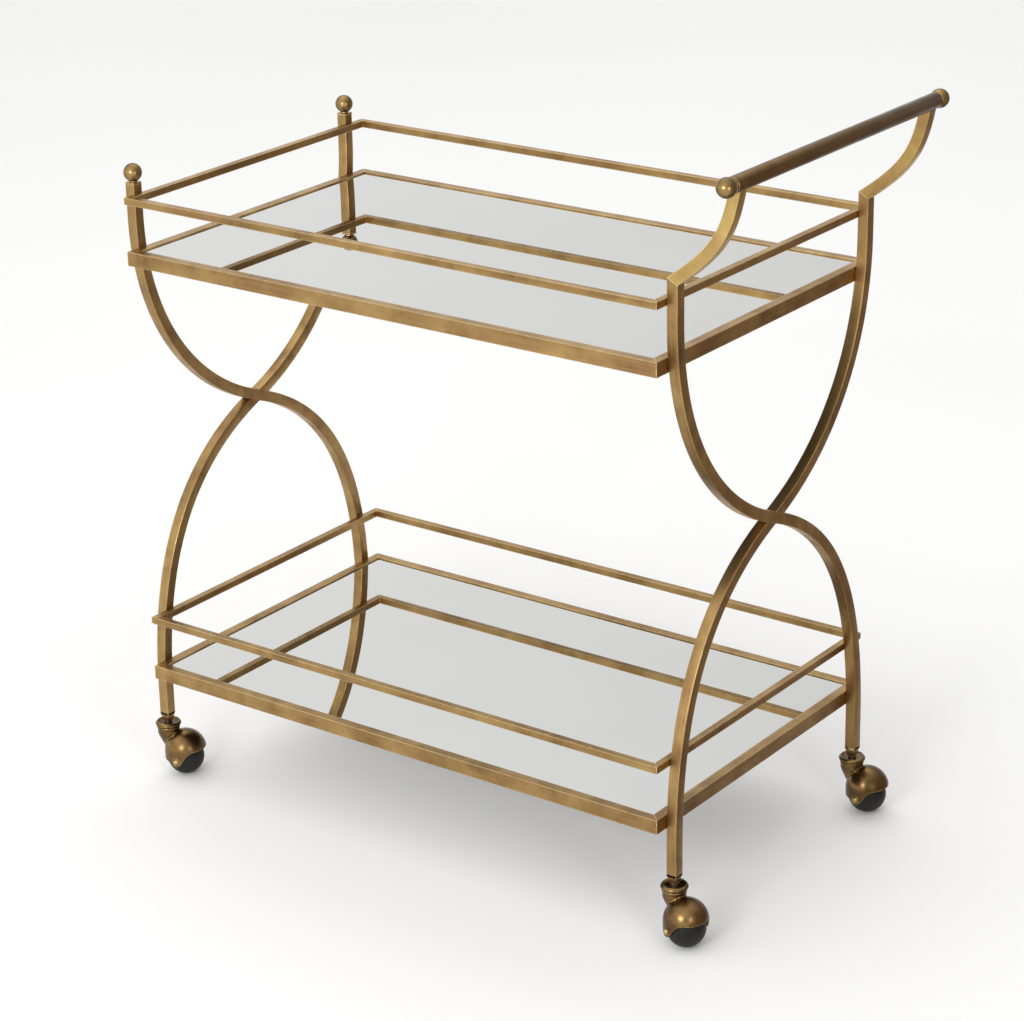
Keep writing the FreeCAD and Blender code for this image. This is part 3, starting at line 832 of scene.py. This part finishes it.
# ---- Casters, modelled once about the swivel axis, trailing towards +X, then copied
TRAIL = 0.023
WHEEL_RADIUS = 0.025
AXLE_AZIMUTH = math.radians(-100)
AXLE = Vector((math.cos(AXLE_AZIMUTH), math.sin(AXLE_AZIMUTH), 0))
LEAD = Vector((-math.sin(AXLE_AZIMUTH), math.cos(AXLE_AZIMUTH), 0))
BALL = Vector((TRAIL, 0, WHEEL_RADIUS))
HOOD_RADIUS = 0.0285
HOOD_WALL = 0.002
HOOD_LIFT = 0.010
HOOD_EDGE = 0.014
SKIRT_DROP = 0.0015
EAR_TURN = math.radians(35)
EAR_PULL = 0.008
HOOD_BASE = 0.05
HOOD_STRAIGHT = 0.02
SIDE_GAP = 0.0002
CURVE_POINTS = 16
SKIRT_RUN = 0.004
NEAR_EAR = (0.024, 0.009, 0.0025)
FAR_EAR = (0.020, 0.006, 0.0)
BOSS_RADIUS = 0.0058
BOSS_START = 0.0270
BOSS_PROUD = 0.0005
RECESS_RADIUS = 0.0043
RECESS_DEPTH = 0.0006
RECESS_END = 0.045
RELIEF_RADIUS = 0.0062
RELIEF_TOP = 0.013
STEM_BORE = 0.00415
BORE_START = 0.009
BORE_PAST = 0.01
NECK_OUTLINE = (
    (0.0152, 0.0),
    (0.0158, 0.0006),
    (0.0158, 0.0030),
    (0.0150, 0.0040),
    (0.0150, 0.0100),
    (0.0140, 0.0135),
    (0.0122, 0.0180),
    (0.0090, 0.0250),
)
NECK_LOW_RADIUS = 0.0050
VOXEL = 0.00045
SOFTEN_FACTOR = 0.5
SOFTEN_TIMES = 4
KEPT_TRIANGLES = 0.22
WHEEL_SEAM = 0.0185
SEAM_GROOVE = 0.00045
SEAM_GAP = 0.0001
HUB_RADIUS = 0.005
HUB_GAP = 0.0008
PIN_RADIUS = 0.0025
PIN_HEAD = 0.0039
PIN_DOME = 0.0023
FAR_DOME = 0.0015
CAP_BORE = 0.0041
SWIVEL_GAP = 0.0003
CAP_RADIUS = (cap_high.x - cap_low.x) / 2
CAP_TOP = cap_high.z
CAP_BOTTOM = cap_low.z
NECK_TOP = CAP_BOTTOM - SWIVEL_GAP


def hood_side(direction, root, tip, lift):
    """Block that keeps one side of the hood down to its lip, its ear and its skirt."""
    far = 2 * HOOD_RADIUS
    reach = tip * math.cos(EAR_TURN)
    low = lift - tip * math.sin(EAR_TURN)
    poles = [
        (root, HOOD_EDGE),
        (root - EAR_PULL, HOOD_EDGE),
        (reach + EAR_PULL * math.sin(EAR_TURN), low + EAR_PULL * math.cos(EAR_TURN)),
        (reach, low),
    ]
    outline = [(-far, far), (far, far), (far, HOOD_EDGE)]
    for i in range(CURVE_POINTS + 1):
        t = i / CURVE_POINTS
        weights = ((1 - t) ** 3, 3 * t * (1 - t) ** 2, 3 * t**2 * (1 - t), t**3)
        outline.append(tuple(sum(w * pole[k] for w, pole in zip(weights, poles)) for k in (0, 1)))
    outline += arc(0, lift, tip, -math.degrees(EAR_TURN) - 5, -175 + math.degrees(EAR_TURN), 16)
    outline += [(-reach - SKIRT_RUN, -SKIRT_DROP), (-far, -SKIRT_DROP)]
    start = BALL - direction * SIDE_GAP
    points = [start + LEAD * u + Vector((0, 0, z)) for u, z in outline]
    return prism("hood_side", points, direction * far)


def capsule(name, radius):
    """Ball about the hood's centre, carried straight down past the wheel."""
    outline = [(0, -HOOD_BASE), (radius, -HOOD_BASE), (radius, -HOOD_STRAIGHT)]
    outline += arc(0, HOOD_LIFT, radius, 0, 90, 40)[:-1]
    outline += [(0, HOOD_LIFT + radius)]
    return aim(turned(name, outline, steps=FINE_LATHE_STEPS), BALL, Z_AXIS)


def rod(name, radius, start, end):
    """Round bar between two points, used to drill and to add bosses."""
    length = (Vector(end) - Vector(start)).length
    outline = [(0, 0), (radius, 0), (radius, length), (0, length)]
    return aim(turned(name, outline, steps=ROD_STEPS), start, Vector(end) - Vector(start))


def build_hood():
    dome = capsule("caster_hood", HOOD_RADIUS)
    keep = hood_side(AXLE, *NEAR_EAR)
    boolean(keep, hood_side(-AXLE, *FAR_EAR), "UNION")
    boolean(dome, keep, "INTERSECT")
    middle = WHEEL_RADIUS + HOOD_LIFT
    neck_profile = [(0, NECK_TOP)] + [(r, NECK_TOP - drop) for r, drop in NECK_OUTLINE]
    neck_profile += [(NECK_LOW_RADIUS, middle), (0, middle)]
    boolean(dome, turned("neck", neck_profile), "UNION")
    boss_end = BALL + AXLE * (HOOD_RADIUS + BOSS_PROUD)
    boolean(dome, rod("boss", BOSS_RADIUS, BALL + AXLE * BOSS_START, boss_end), "UNION")
    boolean(dome, capsule("hollow", HOOD_RADIUS - HOOD_WALL), "DIFFERENCE")
    seat = BALL + AXLE * (HOOD_RADIUS - RECESS_DEPTH)
    boolean(dome, rod("recess", RECESS_RADIUS, seat, BALL + AXLE * RECESS_END), "DIFFERENCE")
    low = Vector((0, 0, middle + BORE_START))
    relief_end = Vector((0, 0, NECK_TOP - RELIEF_TOP))
    boolean(dome, rod("relief", RELIEF_RADIUS, low, relief_end), "DIFFERENCE")
    bore_end = Vector((0, 0, NECK_TOP + BORE_PAST))
    boolean(dome, rod("bore", STEM_BORE, low, bore_end), "DIFFERENCE")
    remesh = dome.modifiers.new("remesh", "REMESH")
    remesh.mode = "VOXEL"
    remesh.voxel_size = VOXEL
    soften = dome.modifiers.new("soften", "SMOOTH")
    soften.factor = SOFTEN_FACTOR
    soften.iterations = SOFTEN_TIMES
    thin = dome.modifiers.new("thin", "DECIMATE")
    thin.ratio = KEPT_TRIANGLES
    apply_modifiers(dome)
    recalculate(dome)
    smooth(dome, 60)
    return dome


def build_wheel():
    """Tread and domed cap of the ball wheel, split at a shallow seam, with hubs."""
    hub_end = HOOD_RADIUS - HOOD_WALL - HUB_GAP
    seam_angle = math.degrees(math.asin(WHEEL_SEAM / WHEEL_RADIUS))
    lip = math.degrees(SEAM_GROOVE / WHEEL_RADIUS)
    hub_angle = math.degrees(math.acos(HUB_RADIUS / WHEEL_RADIUS))
    seam_r = math.sqrt(WHEEL_RADIUS**2 - WHEEL_SEAM**2)
    tread = [(0, -hub_end), (HUB_RADIUS, -hub_end)]
    tread += arc(0, 0, WHEEL_RADIUS, -hub_angle, seam_angle - lip, 56)
    tread += [(seam_r - SEAM_GROOVE, WHEEL_SEAM - SEAM_GAP), (0, WHEEL_SEAM - SEAM_GAP)]
    cap = [(0, WHEEL_SEAM + SEAM_GAP), (seam_r - SEAM_GROOVE, WHEEL_SEAM + SEAM_GAP)]
    cap += arc(0, 0, WHEEL_RADIUS, seam_angle + lip, hub_angle, 20)
    cap += [(HUB_RADIUS, hub_end), (0, hub_end)]
    parts = []
    for name, outline in (("caster_wheel", tread), ("caster_wheel_cap", cap)):
        piece = aim(turned(name, outline, steps=FINE_LATHE_STEPS), BALL, AXLE)
        smooth(piece, 30)
        parts.append(piece)
    return parts


def pin_head(start, height, angles):
    """Outline points of a domed pin head; angles in degrees from its crown."""
    turns = [math.radians(a) for a in angles]
    return [(PIN_HEAD * math.sin(a), start + height * math.cos(a)) for a in turns]


def build_axle():
    """Pin with a domed rivet head at each end."""
    seat = HOOD_RADIUS - RECESS_DEPTH
    far = HOOD_RADIUS
    outline = [(0, -far - FAR_DOME)] + pin_head(-far, -FAR_DOME, (20, 40, 60, 75, 90))
    outline += [(PIN_RADIUS, -far), (PIN_RADIUS, seat), (PIN_HEAD, seat)]
    outline += pin_head(seat, PIN_DOME, (85, 70, 55, 40, 20)) + [(0, seat + PIN_DOME)]
    axle = aim(turned("caster_axle", outline, steps=ROD_STEPS), BALL, AXLE)
    smooth(axle, BALL_SMOOTH_ANGLE)
    return axle


def build_cap():
    """Rolled cap with a dished top and a thin rim."""
    outline = [
        (CAP_BORE, CAP_BOTTOM),
        (CAP_RADIUS - 0.0022, CAP_BOTTOM),
        (CAP_RADIUS - 0.0012, CAP_BOTTOM + 0.0005),
    ]
    outline += arc(CAP_RADIUS - 0.0026, CAP_BOTTOM + 0.0026, 0.0026, -40, 60, 8)
    outline += [(CAP_RADIUS - 0.0020, CAP_TOP - 0.0004)]
    outline += arc(CAP_RADIUS - 0.0026, CAP_TOP - 0.0006, 0.0006, 20, 160, 5)
    outline += [
        (CAP_RADIUS - 0.0045, CAP_TOP - 0.0016),
        (CAP_RADIUS - 0.0075, CAP_TOP - 0.0021),
        (CAP_BORE, CAP_TOP - 0.0021),
    ]
    cap = turned("caster_cap", outline, closed=True)
    smooth(cap, BALL_SMOOTH_ANGLE)
    return cap


hood_model = build_hood()
wheel_model, wheel_cap_model = build_wheel()
axle_model = build_axle()
cap_model = build_cap()
for corner in ("front_left", "front_right", "back_right", "back_left"):
    swivel = wheel_joints["swivel_" + corner]["pos_m"]
    wheel = wheel_joints["roll_" + corner]["pos_m"]
    heading = math.atan2(wheel[1] - swivel[1], wheel[0] - swivel[0])
    stand = Matrix.Translation((swivel[0], swivel[1], 0)) @ Matrix.Rotation(heading, 4, "Z")
    for model, body, slot, material in (
        (hood_model, "caster_" + corner, "caster_brass", brass_cast),
        (wheel_model, "wheel_" + corner, "wheel_black", wheel_black),
        (wheel_cap_model, "wheel_" + corner, "wheel_black", wheel_black),
        (axle_model, "caster_" + corner, "rivet_brass", brass_rivet),
        (cap_model, "cart", "caster_brass", brass_cast),
    ):
        name = model.name + "_" + corner
        piece = copy_of(model, "new_" + name)
        piece.data.transform(stand)
        place(piece, body, slot, material, name)
for model in (hood_model, wheel_model, wheel_cap_model, axle_model, cap_model):
    remove(model)


# ---- Floor, light and camera
FLOOR_SIZE = 40
CARD_NEAR = (0.50, 0.002)
CARD_FAR = (1.80, 1.6)
CARD_FRONT = -0.35
CARD_BACK = 3.5
DIM_SIDE = (0.88, 0.42, -0.20)
PALE_SIDE_STOP = (0.35, (0.99, 0.99, 0.985, 1))
DIM_SIDE_STOP = (0.90, (0.30, 0.29, 0.28, 1))
HEIGHT_TONES = ((0.0, 1.0), (0.14, 0.80), (0.22, 0.44), (0.50, 0.44), (0.66, 0.66), (1.0, 0.66))
WORLD_STRENGTH = 2.0
LIGHTS = (
    ("front_softbox", (-1.2, -3.0, 2.4), (0, 0, 0.4), (2.4, 2.0), 6),
    ("top_softbox", (-1.2, 1.6, 3.2), (-0.8, 1.2, 0), (3.0, 3.0), 16),
    ("key_softbox", (0.5, -3.5, 1.8), (0, 0, 0.3), (1.1, 1.1), 42),
    ("side_softbox", (3.3, -1.9, 1.4), (0, 0, 0.4), (0.7, 1.1), 20),
    ("under_fill", (-0.04, 0, 0.13), (-0.04, 0, 0), (0.9, 0.55), 0.40),
)
LENS = 107.08
SENSOR_WIDTH = 36
CAMERA_SPOT = (2.2194 - 0.03875, -2.9699, 1.8573)
CAMERA_TURN = (68.575, 1.018, 36.124)


def build_floor():
    deselect()
    bpy.ops.mesh.primitive_plane_add(size=FLOOR_SIZE, location=(0, 0, 0))
    floor = bpy.context.object
    floor.name = "studio_floor"
    material, tree, shader, where = new_material("studio_floor")
    cloud = noise(tree, where, 0.6, 2.0, 0.5)
    tone = blend_colours(tree, span(tree, cloud, 0.3, 0.7), FLOOR_DIM, FLOOR_PALE)
    tree.links.new(tone, shader.inputs["Base Color"])
    shader.inputs["Roughness"].default_value = 0.9
    shader.inputs["Specular IOR Level"].default_value = 0.1
    floor.data.materials.append(material)


def area_light(name, spot, target, size, power):
    light = bpy.data.lights.new(name, "AREA")
    light.shape = "RECTANGLE"
    light.size = size[0]
    light.size_y = size[1]
    light.energy = power
    lamp = bpy.data.objects.new(name, light)
    lamp.location = spot
    lamp.rotation_euler = (Vector(target) - Vector(spot)).to_track_quat("-Z", "Y").to_euler()
    bpy.context.collection.objects.link(lamp)
    return lamp


def build_world():
    """Soft studio surround: pale behind and above, dimmer on the handle side."""
    world = bpy.data.worlds.new("studio")
    bpy.context.scene.world = world
    world.use_nodes = True
    tree = world.node_tree
    tree.nodes.clear()
    output = tree.nodes.new("ShaderNodeOutputWorld")
    back = tree.nodes.new("ShaderNodeBackground")
    direction = tree.nodes.new("ShaderNodeTexCoord").outputs["Generated"]
    dot = tree.nodes.new("ShaderNodeVectorMath")
    dot.operation = "DOT_PRODUCT"
    dot.inputs[1].default_value = DIM_SIDE
    tree.links.new(direction, dot.inputs[0])
    ramp = tree.nodes.new("ShaderNodeValToRGB")
    for element, (stop, tone) in zip(ramp.color_ramp.elements, (PALE_SIDE_STOP, DIM_SIDE_STOP)):
        element.position = stop
        element.color = tone
    tree.links.new(span(tree, dot.outputs["Value"], -1, 1), ramp.inputs["Fac"])
    tree.links.new(ramp.outputs["Color"], back.inputs["Color"])
    height = tree.nodes.new("ShaderNodeSeparateXYZ")
    tree.links.new(direction, height.inputs[0])
    bands = tree.nodes.new("ShaderNodeValToRGB")
    for stop, _ in HEIGHT_TONES[1:-1]:
        bands.color_ramp.elements.new(stop)
    for element, (stop, tone) in zip(bands.color_ramp.elements, HEIGHT_TONES):
        element.position = stop
        element.color = (tone, tone, tone, 1)
    tree.links.new(height.outputs["Z"], bands.inputs["Fac"])
    strength = maths(tree, "MULTIPLY", bands.outputs["Color"], WORLD_STRENGTH)
    tree.links.new(strength, back.inputs["Strength"])
    tree.links.new(back.outputs["Background"], output.inputs["Surface"])


def build_flag():
    """Brown card past the handle end, seen only in reflections, that shades the end faces."""
    deselect()
    bpy.ops.mesh.primitive_plane_add(size=2, location=(0, 0, 0))
    flag = bpy.context.object
    flag.name = "dark_flag"
    corners = []
    for x, z in (CARD_NEAR, CARD_FAR):
        corners += [Vector((x, CARD_FRONT, z)), Vector((x, CARD_BACK, z))]
    for vertex, corner in zip(flag.data.vertices, corners):
        vertex.co = corner
    material, tree, shader, where = new_material("dark_flag")
    cloud = noise(tree, where, 1.5, 2.0, 0.5)
    tone = blend_colours(tree, cloud, CARD_DARK, CARD_LIGHT)
    tree.links.new(tone, shader.inputs["Base Color"])
    shader.inputs["Roughness"].default_value = 0.9
    flag.data.materials.append(material)
    flag.visible_camera = False
    flag.visible_diffuse = False
    flag.visible_shadow = False


build_floor()
build_world()
build_flag()
for settings in LIGHTS:
    lamp = area_light(*settings)
lamp.visible_glossy = False  # the under-cart fill, last in the list

camera_data = bpy.data.cameras.new("camera")
camera_data.lens = LENS
camera_data.sensor_width = SENSOR_WIDTH
camera_data.clip_end = 100
camera = bpy.data.objects.new("camera", camera_data)
camera.location = CAMERA_SPOT
camera.rotation_euler = [math.radians(a) for a in CAMERA_TURN]
bpy.context.collection.objects.link(camera)
bpy.context.scene.camera = camera
bpy.context.scene.view_settings.view_transform = "Standard"

deselect()
